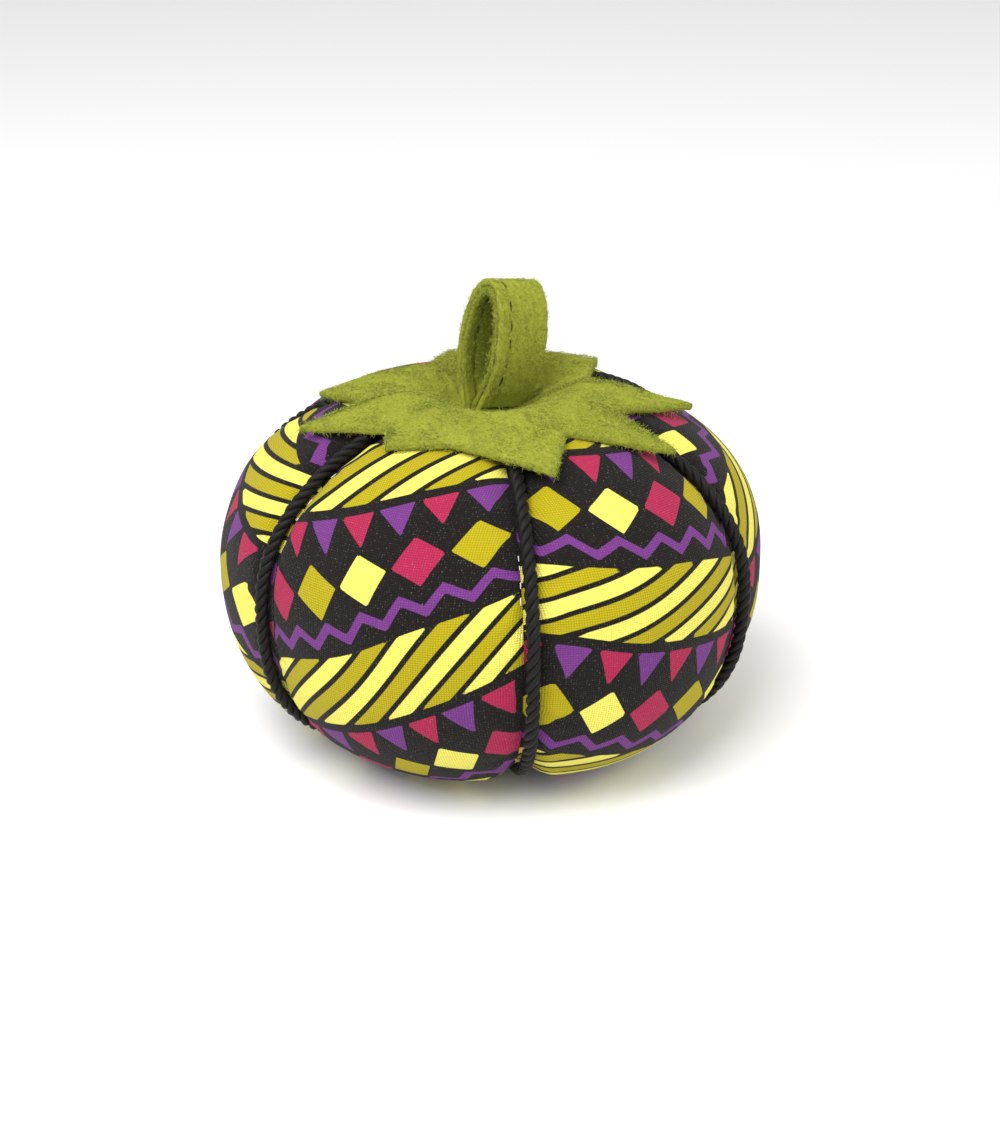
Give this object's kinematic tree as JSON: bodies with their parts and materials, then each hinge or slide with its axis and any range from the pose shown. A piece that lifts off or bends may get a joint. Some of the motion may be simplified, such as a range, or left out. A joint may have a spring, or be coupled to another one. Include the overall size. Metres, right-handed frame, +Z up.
{
  "type": "pumpkin-shaped pin cushion",
  "caption": "Stuffed pumpkin-shaped pin cushion of printed cloth gores with twisted cord in its seams, a green felt star on top and a felt hanging loop.",
  "frame": {"origin": "under the middle of the cushion, on the surface that it rests on", "axes": "+Z up through the cushion; +Y along the hole of the hanging loop"},
  "size_m": [0.09, 0.0903, 0.077],
  "materials": {
    "printed_cotton": "matt woven cotton with a printed pattern",
    "satin_cord": "twisted black satin cord",
    "white_thread": "sewing thread",
    "fibre_filling": "loose fibre",
    "tie_thread": "strong waxed thread",
    "green_felt": "thick fuzzy felt",
    "dark_thread": "sewing thread"
  },
  "bodies": {
    "cushion": {"panel_1": "printed_cotton", "panel_2": "printed_cotton", "panel_3": "printed_cotton", "panel_4": "printed_cotton", "panel_5": "printed_cotton", "panel_6": "printed_cotton", "cord_1": "satin_cord", "cord_2": "satin_cord", "cord_3": "satin_cord", "cord_4": "satin_cord", "cord_5": "satin_cord", "cord_6": "satin_cord", "seam_thread_1": "white_thread", "seam_thread_2": "white_thread", "seam_thread_3": "white_thread", "seam_thread_4": "white_thread", "seam_thread_5": "white_thread", "seam_thread_6": "white_thread", "filling": "fibre_filling", "centre_tie": "tie_thread", "felt_star": "green_felt", "loop_end_1": "green_felt", "loop_end_2": "green_felt"},
    "hanging_loop": {"loop_outer_strip": "green_felt", "loop_inner_strip": "green_felt", "loop_stitches": "dark_thread"}
  },
  "joints": [
    {"name": "loop_tilt", "type": "hinge", "parent": "cushion", "child": "hanging_loop", "pos_m": [-0.00025, 0.0009, 0.0582], "axis": [0, 1, 0], "range_deg": [-20, 28], "stiffness_Nm_per_rad": 0.003}
  ]
}
